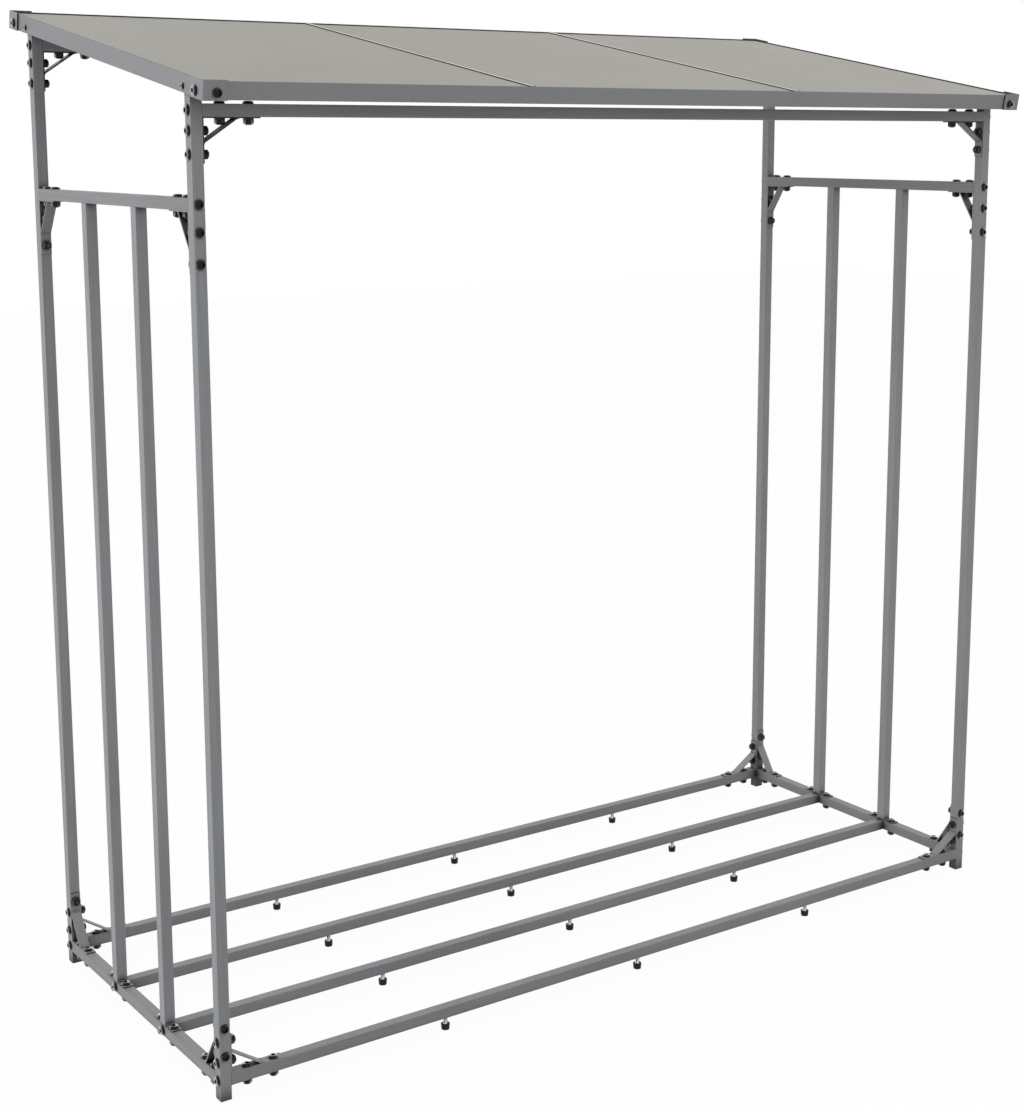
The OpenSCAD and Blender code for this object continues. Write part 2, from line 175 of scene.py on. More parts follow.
floor_mesh = bpy.data.meshes.new("studio_floor")
floor_mesh.from_pydata([(-FLOOR_HALF, -FLOOR_HALF, 0), (FLOOR_HALF, -FLOOR_HALF, 0),
                        (FLOOR_HALF, FLOOR_HALF, 0), (-FLOOR_HALF, FLOOR_HALF, 0)],
                       [], [(0, 1, 2, 3)])
floor = bpy.data.objects.new("studio_floor", floor_mesh)
scene.collection.objects.link(floor)

# Painted studio board, pale and matt. To the camera and in reflections most of its tone is its
# own white, and the rest is lit white paint, so that the shadow stays visible as a soft grey. The
# light that it throws back up at the store is that of a greyer board.
paint = bpy.data.materials.new("matt_studio_paint")
paint.use_nodes = True
tree = paint.node_tree
tree.nodes.clear()
seen = seen_directly(tree)
share = add(tree, "ShaderNodeMath", {"operation": "MULTIPLY"}, {0: seen, 1: FLOOR_GLOW})
board = add(tree, "ShaderNodeMix", {"data_type": "RGBA"},
            {0: seen, 6: linear("#a8a8a8"), 7: linear("#ffffff")})
lit = add(tree, "ShaderNodeBsdfDiffuse", {}, {"Color": board.outputs[2]})
white = add(tree, "ShaderNodeEmission", {}, {"Color": linear("#ffffff"), "Strength": 1.0})
both = add(tree, "ShaderNodeMixShader", {},
           {0: share.outputs[0], 1: lit.outputs[0], 2: white.outputs[0]})
add(tree, "ShaderNodeOutputMaterial", {}, {"Surface": both.outputs[0]})
floor_mesh.materials.append(paint)
print("floor of", 2 * FLOOR_HALF, "m")

# %% [markdown]
# ## Grey powder coat on the frame
# Every tube and brace is mild steel under a baked grey powder coat. The powder melts and flows in
# the oven, and freezes into a satin skin with a faint orange peel, about 2 mm from crest to crest.
# Under it the drawn tube keeps fine die lines along its length. The photograph has about two
# millimetres to a pixel, so the peel is drawn at 4 mm and the die lines at 2 mm to show at all.
# A plain colour would look like plastic, and modelled dimples would cost millions of faces, so the
# peel is a bump and the die lines a small change of tone. They follow the tube, so the coat is made
# once for each direction. The roof's edges and brackets are folded from rolled sheet, which has an
# even grain and no die lines. The greys differ by direction as painted light and shade: the uprights
# are a touch paler than the rails, and the slats and top rails paler still.
# In the inner corners, where a plate meets a tube, the coat darkens as painted shade. An occlusion
# node with a reach of a few centimetres draws it.
# The plates are sheared from sheet. Their ends are painted near black as painted shade, the dark
# line of shade along each end. Those ends are picked by rule: faces square to one axis, where the
# piece lies within two distances of the store's middle.

# %% Make the powder coat
PEEL = 4 * MM
DIE_LINES = 2 * MM
DIE_RUN = 150 * MM
CLOUD = 260 * MM
CLOUD_SHARE = 0.7
TONE_SPREAD = (0.65, 1.05)
SATIN = (0.40, 0.54)
CORNER_SHADE_GREY = "#0c0c0d"
EDGE_SHADE_GREY = "#101011"
RAYS = 8
SQUARE = 0.9
# A kind of corner: the reach, and the openness at which its painted shade is black and at which
# there is none.
OPEN_CORNERS = (30 * MM, 0.25, 0.55)
TIGHT_CORNERS = (30 * MM, 0.4, 0.9)
TUBE_CORNERS = (50 * MM, 0.42, 0.88)
# A coat's darkest and palest grey. The tubes' greys go by their direction, as painted light and
# shade.
SHEET_GREYS = ("#838588", "#919396")
TUBE_LIT_GREYS = (("#7f8184", "#8d8f92"), ("#7d7f82", "#8b8d90"), ("#888a8d", "#96989b"))
PALE_LIT_GREYS = ("#8b8d90", "#999b9e")


def cut_edges(tree, rules):
    """Pick the faces square to one axis that lie between two distances along another axis."""
    coords = add(tree, "ShaderNodeTexCoord").outputs
    facing = add(tree, "ShaderNodeVectorMath", {"operation": "ABSOLUTE"}, {0: coords["Normal"]})
    facing = add(tree, "ShaderNodeSeparateXYZ", {}, {0: facing.outputs[0]}).outputs
    away = add(tree, "ShaderNodeVectorMath", {"operation": "ABSOLUTE"}, {0: coords["Object"]})
    away = add(tree, "ShaderNodeSeparateXYZ", {}, {0: away.outputs[0]}).outputs
    picked = 0.0
    for square_to, measured, near, far in rules:
        square = add(tree, "ShaderNodeMath", {"operation": "GREATER_THAN"},
                     {0: facing[square_to], 1: SQUARE})
        within = add(tree, "ShaderNodeMath", {"operation": "COMPARE"},
                     {0: away[measured], 1: (near + far) / 2, 2: (far - near) / 2})
        both = add(tree, "ShaderNodeMath", {"operation": "MULTIPLY"},
                   {0: square.outputs[0], 1: within.outputs[0]})
        picked = add(tree, "ShaderNodeMath", {"operation": "MAXIMUM"},
                     {0: both.outputs[0], 1: picked}).outputs[0]
    return picked


def powder_coat(name, along=None, edges=(), greys=SHEET_GREYS, corner_shade=OPEN_CORNERS):
    """Satin grey powder coat on steel drawn along axis 0, 1 or 2 or rolled, with painted shade in
    the corners and on the cut edges.
    """
    coat = bpy.data.materials.new(name)
    coat.use_nodes = True
    tree = coat.node_tree
    shader = tree.nodes["Principled BSDF"]
    place = add(tree, "ShaderNodeTexCoord").outputs["Object"]
    run = [DIE_LINES] * 3
    if along is not None:
        run[along] = DIE_RUN
    stretched = add(tree, "ShaderNodeMapping", {"vector_type": "TEXTURE"},
                    {"Vector": place, "Scale": run})
    lines = add(tree, "ShaderNodeTexNoise", {},
                {"Vector": stretched.outputs[0], "Scale": 1.0, "Detail": 2.0})
    cloud = add(tree, "ShaderNodeTexNoise", {},
                {"Vector": place, "Scale": 1 / CLOUD, "Detail": 3.0})
    tone = add(tree, "ShaderNodeMath", {"operation": "MULTIPLY_ADD"},
               {0: cloud.outputs[0], 1: CLOUD_SHARE, 2: lines.outputs[0]})
    tone = add(tree, "ShaderNodeMapRange", {},
               {"Value": tone.outputs[0], "From Min": TONE_SPREAD[0], "From Max": TONE_SPREAD[1]})
    grey = add(tree, "ShaderNodeMix", {"data_type": "RGBA"},
               {0: tone.outputs[0], 6: linear(greys[0]), 7: linear(greys[1])})
    # Painted shade: the occlusion node darkens the coat towards corners and between parts.
    reach, black, unshaded = corner_shade
    corner = add(tree, "ShaderNodeAmbientOcclusion", {"samples": RAYS}, {"Distance": reach})
    corner_darkening = add(tree, "ShaderNodeMapRange", {"interpolation_type": "SMOOTHSTEP"},
               {"Value": corner.outputs["AO"], "From Min": black, "From Max": unshaded,
                "To Min": 1.0, "To Max": 0.0})
    finish = add(tree, "ShaderNodeMix", {"data_type": "RGBA"},
                 {0: corner_darkening.outputs[0], 6: grey.outputs[2], 7: linear(CORNER_SHADE_GREY)})
    # Painted shade: the cut ends of the plates are painted near black.
    if edges:
        finish = add(tree, "ShaderNodeMix", {"data_type": "RGBA"},
                     {0: cut_edges(tree, edges), 6: finish.outputs[2], 7: linear(EDGE_SHADE_GREY)})
    peel = add(tree, "ShaderNodeTexNoise", {},
               {"Vector": place, "Scale": 1 / PEEL, "Detail": 1.0})
    satin = add(tree, "ShaderNodeMapRange", {},
                {"Value": peel.outputs[0], "To Min": SATIN[0], "To Max": SATIN[1]})
    bump = add(tree, "ShaderNodeBump", {},
               {"Height": peel.outputs[0], "Strength": 0.12, "Distance": 0.4 * MM})
    tree.links.new(finish.outputs[2], shader.inputs["Base Color"])
    tree.links.new(satin.outputs[0], shader.inputs["Roughness"])
    tree.links.new(bump.outputs[0], shader.inputs["Normal"])
    shader.inputs["IOR"].default_value = 1.5
    return coat


coats = [powder_coat("powder_coated_tube_" + "xyz"[axis], axis, greys=greys, corner_shade=TUBE_CORNERS)
         for axis, greys in enumerate(TUBE_LIT_GREYS)]
print("powder coats:", [coat.name for coat in coats])

# %% Coats for the plates and the roof's pieces
BRACE_LONG = 98 * MM
BRACE_SHORT = 71 * MM
SLAT_PLATE_TOP = 46.4 * MM
BRACKET_ENDS = (856 * MM, 370 * MM)
SLACK = 0.5 * MM
ANYWHERE = 10.0
X, Y, Z = range(3)


def brace_coat(node, level, leg, corner_shade=OPEN_CORNERS, sides=()):
    """The coat of a set of braces: painted shade on the ends of both legs, and on the sides if
    asked.
    """
    low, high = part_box(node)
    upright_end = high.z if node.startswith("bottom") else low.z
    return powder_coat("powder_coated_" + node, level, corner_shade=corner_shade, edges=(
        (level, level, 0.0, high[level] - leg + SLACK),
        (Z, Z, upright_end - SLACK, upright_end + SLACK)) + sides)


slat_coat = powder_coat("powder_coated_slat", Z, greys=PALE_LIT_GREYS, corner_shade=TIGHT_CORNERS, edges=(
    (X, Z, 0.0, SLAT_PLATE_TOP), (Y, Z, 0.0, SLAT_PLATE_TOP)))
bracket_coat = powder_coat("powder_coated_bracket", edges=(
    (X, X, 0.0, BRACKET_ENDS[0]), (Y, Y, 0.0, BRACKET_ENDS[1])))
side_edge_coat = powder_coat("powder_coated_side_edge", greys=TUBE_LIT_GREYS[Y])
front_edge_coat = powder_coat("powder_coated_front_edge")
top_rail_coat = powder_coat("powder_coated_top_rail", X, greys=PALE_LIT_GREYS, corner_shade=TIGHT_CORNERS)
plate_coats = {
    "front_top_rail": top_rail_coat, "rear_top_rail": top_rail_coat,
    "bottom_long_braces": brace_coat("bottom_long_braces", X, BRACE_LONG),
    "top_long_braces": brace_coat("top_long_braces", X, BRACE_LONG,
                                  sides=((Y, Y, 0.0, ANYWHERE),)),
    "bottom_side_braces": brace_coat("bottom_side_braces", Y, BRACE_SHORT, TIGHT_CORNERS),
    "upper_side_braces": brace_coat("upper_side_braces", Y, BRACE_SHORT, TIGHT_CORNERS),
    "roof_left_edge": side_edge_coat, "roof_right_edge": side_edge_coat,
    "roof_front_edge": front_edge_coat, "roof_rear_edge": front_edge_coat}
for name in frame["nodes"]:
    if name.endswith("_slat"):
        plate_coats[name] = slat_coat
    if name.endswith("_roof_bracket"):
        plate_coats[name] = bracket_coat
print("pieces with a coat of their own:", len(plate_coats))

# %% [markdown]
# ## Coated roof sheet
# The roof sheets are thin steel that was painted as a flat coil before it was folded. Rolled-on
# paint is flatter and warmer than the powder, with a fine even stipple of about 1 mm, drawn here at
# 5 mm, and the thin sheet is never quite flat: it waves a fraction of a millimetre over a hand's
# width, which makes soft changes of tone. Both are bumps in the material, because the waves are far
# too shallow to be seen in outline. The fold of each hem, the only face that leans to the left,
# towards the lamp, has a painted highlight: it is nearly white above, and below, towards the joint,
# it has painted shade.

# %% Make the roof sheet
STIPPLE = 5 * MM
WAVES = 170 * MM
FOLD_LEAN = (-0.1, -0.4)
FOLD_UPPER = (-0.25, 0.1)

sheet = bpy.data.materials.new("coil_painted_steel_sheet")
sheet.use_nodes = True
tree = sheet.node_tree
shader = tree.nodes["Principled BSDF"]
place = add(tree, "ShaderNodeTexCoord").outputs["Object"]
stipple = add(tree, "ShaderNodeTexNoise", {},
              {"Vector": place, "Scale": 1 / STIPPLE, "Detail": 1.0})
waves = add(tree, "ShaderNodeTexNoise", {},
            {"Vector": place, "Scale": 1 / WAVES, "Detail": 2.0})
tone = add(tree, "ShaderNodeMix", {"data_type": "RGBA"},
           {0: waves.outputs[0], 6: linear("#95928a"), 7: linear("#9f9c94")})
# Painted highlight and shade on the hem folds, the faces that lean left towards the lamp: nearly
# white above, near black below.
facing = add(tree, "ShaderNodeTexCoord").outputs["Normal"]
lean = add(tree, "ShaderNodeSeparateXYZ", {}, {0: facing}).outputs
folded = add(tree, "ShaderNodeMapRange", {"interpolation_type": "SMOOTHSTEP"},
             {"Value": lean["X"], "From Min": FOLD_LEAN[0], "From Max": FOLD_LEAN[1]})
upper = add(tree, "ShaderNodeMapRange", {"interpolation_type": "SMOOTHSTEP"},
            {"Value": lean["Z"], "From Min": FOLD_UPPER[0], "From Max": FOLD_UPPER[1]})
fold_highlight_and_shade = add(tree, "ShaderNodeMix", {"data_type": "RGBA"},
                {0: upper.outputs[0], 6: linear("#161616"), 7: linear("#f4f5f6")})
tone = add(tree, "ShaderNodeMix", {"data_type": "RGBA"},
           {0: folded.outputs[0], 6: tone.outputs[2], 7: fold_highlight_and_shade.outputs[2]})
chalk = add(tree, "ShaderNodeMapRange", {},
            {"Value": stipple.outputs[0], "To Min": 0.50, "To Max": 0.62})
wave_bump = add(tree, "ShaderNodeBump", {},
                {"Height": waves.outputs[0], "Strength": 0.5, "Distance": 0.6 * MM})
fine_bump = add(tree, "ShaderNodeBump", {},
                {"Height": stipple.outputs[0], "Strength": 0.1, "Distance": 0.3 * MM,
                 "Normal": wave_bump.outputs[0]})
tree.links.new(tone.outputs[2], shader.inputs["Base Color"])
tree.links.new(chalk.outputs[0], shader.inputs["Roughness"])
tree.links.new(fine_bump.outputs[0], shader.inputs["Normal"])
shader.inputs["IOR"].default_value = 1.5
shader.inputs["Specular IOR Level"].default_value = 0.25
print("roof sheet:", sheet.name)

# %% [markdown]
# ## Rubber
# Two rubbers are on the store. The seal round the roof sheets and the pads under the corner
# brackets are soft black strip, cut from foam rubber, with a dull open grain and a grey bloom, and
# their black is painted shade along the roof's joints and at the brackets' ends. The feet are
# moulded harder, so they carry the faint sheen of the mould. Both share one recipe with a few
# numbers changed.

# %% Make the rubbers
BLOOM_SIZE = 12


def rubber(name, dark, pale, grain, shine):
    """Black rubber with a grain of the given size and a roughness range."""
    made = bpy.data.materials.new(name)
    made.use_nodes = True
    tree = made.node_tree
    shader = tree.nodes["Principled BSDF"]
    place = add(tree, "ShaderNodeTexCoord").outputs["Object"]
    pores = add(tree, "ShaderNodeTexNoise", {},
                {"Vector": place, "Scale": 1 / grain, "Detail": 3.0})
    bloom = add(tree, "ShaderNodeTexNoise", {},
                {"Vector": place, "Scale": 1 / (BLOOM_SIZE * grain), "Detail": 2.0})
    tone = add(tree, "ShaderNodeMix", {"data_type": "RGBA"},
               {0: bloom.outputs[0], 6: linear(dark), 7: linear(pale)})
    dull = add(tree, "ShaderNodeMapRange", {},
               {"Value": pores.outputs[0], "To Min": shine[0], "To Max": shine[1]})
    bump = add(tree, "ShaderNodeBump", {},
               {"Height": pores.outputs[0], "Strength": 0.3, "Distance": 0.2 * MM})
    tree.links.new(tone.outputs[2], shader.inputs["Base Color"])
    tree.links.new(dull.outputs[0], shader.inputs["Roughness"])
    tree.links.new(bump.outputs[0], shader.inputs["Normal"])
    shader.inputs["IOR"].default_value = 1.52
    shader.inputs["Specular IOR Level"].default_value = 0.22
    return made


# The black seal and pads stand in for the shade lines at the roof's joints and the brackets' ends.
shade_strip_rubber = rubber("black_shade_strip_rubber", "#141414", "#222222", 2 * MM, (0.75, 0.92))
foot_rubber = rubber("moulded_foot_rubber", "#0b0b0b", "#141414", 1.5 * MM, (0.42, 0.60))
print("rubbers:", shade_strip_rubber.name, foot_rubber.name)

# %% [markdown]
# ## Bolt steel and zinc
# The bolts and nuts are steel with a black, sealed oxide finish, smooth and oiled. Seen straight on
# it is almost black, and seen at a slant the oil film mirrors the white studio, so a head on the
# left side is pale on one half and black on the other. Oil on oxide climbs to a mirror sooner than
# plain Fresnel reflection does, so a Layer Weight node turns the skin to mirror by its slant.
# In sockets and at the foot of a head the mirror is taken out as painted shade, so they stay black;
# an occlusion node with a short reach picks them out. The nuts are black too, but dry and duller,
# and the bolt's cut end in them is dark bare steel. The stems of the feet are zinc plated: bright,
# with a barely blue cast and a fine crystal pattern, 1.5 mm here.

# %% Make the fixing metals
MIRROR_FROM = 0.22
MIRROR_FULL = 0.65
HOLLOW_REACH = 5 * MM
HOLLOW_BLACK = 0.78
HOLLOW_UNSHADED = 0.98
SMEAR_SIZE = 4


def fixing_metal(name, dark, pale, grain, shine, metallic, gloss, mirror=None):
    """A plated or oxidised steel with a crystal pattern, which may mirror at a slant in a tone."""
    made = bpy.data.materials.new(name)
    made.use_nodes = True
    tree = made.node_tree
    shader = tree.nodes["Principled BSDF"]
    place = add(tree, "ShaderNodeTexCoord").outputs["Object"]
    crystals = add(tree, "ShaderNodeTexVoronoi", {}, {"Vector": place, "Scale": 1 / grain})
    smear = add(tree, "ShaderNodeTexNoise", {},
                {"Vector": place, "Scale": 1 / (SMEAR_SIZE * grain), "Detail": 2.0})
    tone = add(tree, "ShaderNodeMix", {"data_type": "RGBA"},
               {0: smear.outputs[0], 6: linear(dark), 7: linear(pale)})
    gleam = add(tree, "ShaderNodeMapRange", {},
                {"Value": smear.outputs[0], "To Min": shine[0], "To Max": shine[1]})
    bump = add(tree, "ShaderNodeBump", {},
               {"Height": crystals.outputs["Distance"], "Strength": 0.08, "Distance": 0.1 * MM})
    shader.inputs["Metallic"].default_value = metallic
    shader.inputs["Specular IOR Level"].default_value = gloss
    if mirror:
        facing = add(tree, "ShaderNodeLayerWeight", {}, {"Blend": 0.5}).outputs["Facing"]
        slant = add(tree, "ShaderNodeMapRange", {},
                    {"Value": facing, "From Min": MIRROR_FROM, "From Max": MIRROR_FULL})
        # Painted shade: in hollows the mirror is taken out, so sockets and the foot of a head stay
        # black.
        hollow = add(tree, "ShaderNodeAmbientOcclusion", {"samples": RAYS},
                     {"Distance": HOLLOW_REACH})
        unshaded_skin = add(tree, "ShaderNodeMapRange", {},
                        {"Value": hollow.outputs["AO"], "From Min": HOLLOW_BLACK,
                         "From Max": HOLLOW_UNSHADED})
        slant = add(tree, "ShaderNodeMath", {"operation": "MULTIPLY"},
                    {0: slant.outputs[0], 1: unshaded_skin.outputs[0]})
        tone = add(tree, "ShaderNodeMix", {"data_type": "RGBA"},
                   {0: slant.outputs[0], 6: tone.outputs[2], 7: linear(mirror)})
        tree.links.new(slant.outputs[0], shader.inputs["Metallic"])
    tree.links.new(tone.outputs[2], shader.inputs["Base Color"])
    tree.links.new(gleam.outputs[0], shader.inputs["Roughness"])
    tree.links.new(bump.outputs[0], shader.inputs["Normal"])
    return made


dry_black = fixing_metal("dry_black_nut_steel", "#060606", "#0b0b0b", 1.5 * MM, (0.25, 0.40),
                         0.0, 0.2, mirror="#77787b")
black_oxide = fixing_metal("black_oxide_steel", "#050505", "#0a0a0a", 1.5 * MM, (0.08, 0.15),
                           0.0, 0.22, mirror="#c4c6ca")
cut_steel = fixing_metal("cut_bolt_steel", "#3a3b3d", "#4c4d50", 1.0 * MM, (0.30, 0.42), 1.0, 0.5)
zinc = fixing_metal("bright_zinc_plate", "#dfe2e6", "#f2f4f6", 1.5 * MM, (0.22, 0.36), 1.0, 0.5)
print("fixing metals:", black_oxide.name, dry_black.name, cut_steel.name, zinc.name)

# %% [markdown]
# ## Give the solids their finishes
# The solids keep their own meshes. Each one only gets the finish of its real counterpart: the coat
# that runs along its tube, the sheet, the rubber or the zinc. The direction of a tube is read from
# the longest side of its box.

# %% Assign the finishes
FINISHES = {"roof_sheet": sheet, "seal_rubber": shade_strip_rubber, "foot_rubber": foot_rubber,
            "stem_zinc": zinc}
node_slots = {}
for part in frame["record"]["subparts"]:
    node_slots[part["node"]] = part["material_slot"]

for name, piece in frame["nodes"].items():
    low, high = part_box(name)
    sides = high - low
    longest = max(range(3), key=lambda i: sides[i])
    coat = plate_coats.get(name, coats[longest])
    finish = FINISHES.get(node_slots[name], coat)
    piece.data.materials.clear()
    piece.data.materials.append(finish)
print("finished solids:", len(node_slots))

# %% [markdown]
# ## Button-head bolts
# Black button-head bolts hold the frame: a shallow dome 17.6 mm across on a straight rim, with
# a hexagon socket for a key. A lathe profile spun round would do, but here the head grows in
# Geometry Nodes: a short cylinder's top face is raised ring by ring along an ellipse, and the last
# ring is pulled into a hexagon and pushed down. One tree then serves every size of bolt, and puts a
# head on each marked point, turned to that point's axis, with the sockets left at chance angles as
# a spanner leaves them.

# %% Trees for turned fixings
ROUND = 24
DOME_STEPS = 4
SIXTH = math.pi / 3
CROWN_SHARE = 0.66
SHARP_EDGE = math.radians(32)


def fixing_tree(name, sizes):
    """A new tree with Geometry in and out and the named sizes as inputs."""
    tree = bpy.data.node_groups.new(name, "GeometryNodeTree")
    tree.interface.new_socket("Geometry", in_out="INPUT", socket_type="NodeSocketGeometry")
    for size, kind in sizes:
        tree.interface.new_socket(size, in_out="INPUT", socket_type="NodeSocket" + kind)
    tree.interface.new_socket("Geometry", in_out="OUTPUT", socket_type="NodeSocketGeometry")
    return tree, add(tree, "NodeGroupInput").outputs


def lathe_fields(tree):
    """Each point's direction out from the axis, its height as a vector and its angle round it."""
    here = add(tree, "GeometryNodeInputPosition").outputs[0]
    flat = add(tree, "ShaderNodeVectorMath", {"operation": "MULTIPLY"}, {0: here, 1: (1, 1, 0)})
    out = add(tree, "ShaderNodeVectorMath", {"operation": "NORMALIZE"}, {0: flat.outputs[0]})
    up = add(tree, "ShaderNodeVectorMath", {"operation": "MULTIPLY"}, {0: here, 1: (0, 0, 1)})
    split = add(tree, "ShaderNodeSeparateXYZ", {}, {0: here})
    angle = add(tree, "ShaderNodeMath", {"operation": "ARCTAN2"},
                {0: split.outputs["Y"], 1: split.outputs["X"]})
    return {"out": out.outputs[0], "up": up.outputs[0], "angle": angle.outputs[0]}


def hexagon(tree, angle, across):
    """The distance of a hexagon's edge from its middle, at each point's angle."""
    turn = add(tree, "ShaderNodeMath", {"operation": "FLOORED_MODULO"}, {0: angle, 1: SIXTH})
    turn = add(tree, "ShaderNodeMath", {"operation": "SUBTRACT"},
               {0: turn.outputs[0], 1: SIXTH / 2})
    lean = add(tree, "ShaderNodeMath", {"operation": "COSINE"}, {0: turn.outputs[0]})
    half = add(tree, "ShaderNodeMath", {"operation": "MULTIPLY"}, {0: across, 1: 0.5})
    return add(tree, "ShaderNodeMath", {"operation": "DIVIDE"},
               {0: half.outputs[0], 1: lean.outputs[0]}).outputs[0]


def ring(tree, fields, mesh, top, rise, radius):
    """Raise the top face by rise and set its points at radius from the axis."""
    grown = add(tree, "GeometryNodeExtrudeMesh", {"mode": "FACES"},
                {"Mesh": mesh, "Selection": top, "Offset": (0, 0, 1), "Offset Scale": rise,
                 "Individual": False})
    place = add(tree, "ShaderNodeVectorMath", {"operation": "MULTIPLY_ADD"},
                {0: fields["out"], 1: radius, 2: fields["up"]})
    moved = add(tree, "GeometryNodeSetPosition", {},
                {"Geometry": grown.outputs["Mesh"], "Selection": grown.outputs["Top"],
                 "Position": place.outputs[0]})
    return moved.outputs[0], grown.outputs["Top"]


def on_marks(tree, marks, mesh, turn):
    """Smooth the fixing apart from its sharp edges and put one, turned, on each mark's axis."""
    smooth = add(tree, "GeometryNodeSetShadeSmooth", {}, {0: mesh, "Shade Smooth": True})
    bend = add(tree, "GeometryNodeInputMeshEdgeAngle")
    sharp = add(tree, "ShaderNodeMath", {"operation": "GREATER_THAN"},
                {0: bend.outputs[0], 1: SHARP_EDGE})
    crisp = add(tree, "GeometryNodeSetShadeSmooth", {"domain": "EDGE"},
                {0: smooth.outputs[0], "Selection": sharp.outputs[0], "Shade Smooth": False})
    axis = add(tree, "GeometryNodeInputNamedAttribute", {"data_type": "FLOAT_VECTOR"},
               {"Name": "axis"})
    aim = add(tree, "FunctionNodeAlignRotationToVector", {"axis": "Z"},
              {"Vector": axis.outputs[0]})
    spin = add(tree, "FunctionNodeAxisAngleToRotation", {}, {"Axis": (0, 0, 1), "Angle": turn})
    turned = add(tree, "FunctionNodeRotateRotation", {"rotation_space": "LOCAL"},
                 {0: aim.outputs[0], 1: spin.outputs[0]})
    placed = add(tree, "GeometryNodeInstanceOnPoints", {},
                 {"Points": marks, "Instance": crisp.outputs[0], "Rotation": turned.outputs[0]})
    return add(tree, "GeometryNodeRealizeInstances", {}, {0: placed.outputs[0]}).outputs[0]


bolt_tree, size = fixing_tree("button_head_bolt", [
    ("Head", "Float"), ("Height", "Float"), ("Rim", "Float"), ("Socket", "Float"),
    ("Socket Depth", "Float"), ("Shank", "Float"), ("Shank Length", "Float"),
    ("Seed", "Int"), ("Finish", "Material")])
fields = lathe_fields(bolt_tree)
radius = add(bolt_tree, "ShaderNodeMath", {"operation": "MULTIPLY"}, {0: size["Head"], 1: 0.5})
crown = add(bolt_tree, "ShaderNodeMath", {"operation": "MULTIPLY"},
            {0: size["Socket"], 1: CROWN_SHARE})
fall = add(bolt_tree, "ShaderNodeMath", {"operation": "SUBTRACT"},
           {0: radius.outputs[0], 1: crown.outputs[0]})
rise = add(bolt_tree, "ShaderNodeMath", {"operation": "SUBTRACT"},
           {0: size["Height"], 1: size["Rim"]})
blank = add(bolt_tree, "GeometryNodeMeshCylinder", {"fill_type": "NGON"},
            {"Vertices": ROUND, "Radius": radius.outputs[0], "Depth": size["Rim"]})
half_rim = add(bolt_tree, "ShaderNodeMath", {"operation": "MULTIPLY"}, {0: size["Rim"], 1: 0.5})
lift = add(bolt_tree, "ShaderNodeCombineXYZ", {}, {"Z": half_rim.outputs[0]})
seated = add(bolt_tree, "GeometryNodeTransform", {},
             {0: blank.outputs["Mesh"], "Translation": lift.outputs[0]})
mesh, top = seated.outputs[0], blank.outputs["Top"]
for step in range(1, DOME_STEPS + 1):
    bow, before = step * math.pi / 2 / DOME_STEPS, (step - 1) * math.pi / 2 / DOME_STEPS
    up = add(bolt_tree, "ShaderNodeMath", {"operation": "MULTIPLY"},
             {0: rise.outputs[0], 1: math.sin(bow) - math.sin(before)})
    wide = add(bolt_tree, "ShaderNodeMath", {"operation": "MULTIPLY_ADD"},
               {0: fall.outputs[0], 1: math.cos(bow), 2: crown.outputs[0]})
    mesh, top = ring(bolt_tree, fields, mesh, top, up.outputs[0], wide.outputs[0])
edge = hexagon(bolt_tree, fields["angle"], size["Socket"])
mesh, top = ring(bolt_tree, fields, mesh, top, 0.0, edge)
deep = add(bolt_tree, "ShaderNodeMath", {"operation": "MULTIPLY"},
           {0: size["Socket Depth"], 1: -1.0})
mesh, top = ring(bolt_tree, fields, mesh, top, deep.outputs[0], edge)
thick = add(bolt_tree, "ShaderNodeMath", {"operation": "MULTIPLY"}, {0: size["Shank"], 1: 0.5})
shank = add(bolt_tree, "GeometryNodeMeshCylinder", {"fill_type": "NGON"},
            {"Vertices": ROUND // 2, "Radius": thick.outputs[0], "Depth": size["Shank Length"]})
half_shank = add(bolt_tree, "ShaderNodeMath", {"operation": "MULTIPLY"},
                 {0: size["Shank Length"], 1: -0.5})
drop = add(bolt_tree, "ShaderNodeCombineXYZ", {}, {"Z": half_shank.outputs[0]})
below = add(bolt_tree, "GeometryNodeTransform", {},
            {0: shank.outputs["Mesh"], "Translation": drop.outputs[0]})
bolt = add(bolt_tree, "GeometryNodeJoinGeometry", {}, {0: mesh})
bolt_tree.links.new(below.outputs[0], bolt.inputs[0])
chance = add(bolt_tree, "FunctionNodeRandomValue", {"data_type": "FLOAT"},
             {2: 0.0, 3: SIXTH, "Seed": size["Seed"]})
placed = on_marks(bolt_tree, size["Geometry"], bolt.outputs[0], chance.outputs[1])
coloured = add(bolt_tree, "GeometryNodeSetMaterial", {}, {0: placed, "Material": size["Finish"]})
add(bolt_tree, "NodeGroupOutput", {}, {0: coloured.outputs[0]})
print("bolt tree:", len(bolt_tree.nodes), "nodes")

# %% [markdown]
# ## Lock nuts
# Inside each corner a lock nut closes the bolt: a deep hexagon with a narrow bevel, a low collar
# that holds the nylon ring, and the end of the bolt level with it. A spanner left them all turned
# alike. It grows ring by ring in the same way, from a cylinder pulled into a hexagon. Only the faces
# of the bolt's end get the cut steel, and a stored mark on those faces carries that through to the
# end of the tree.

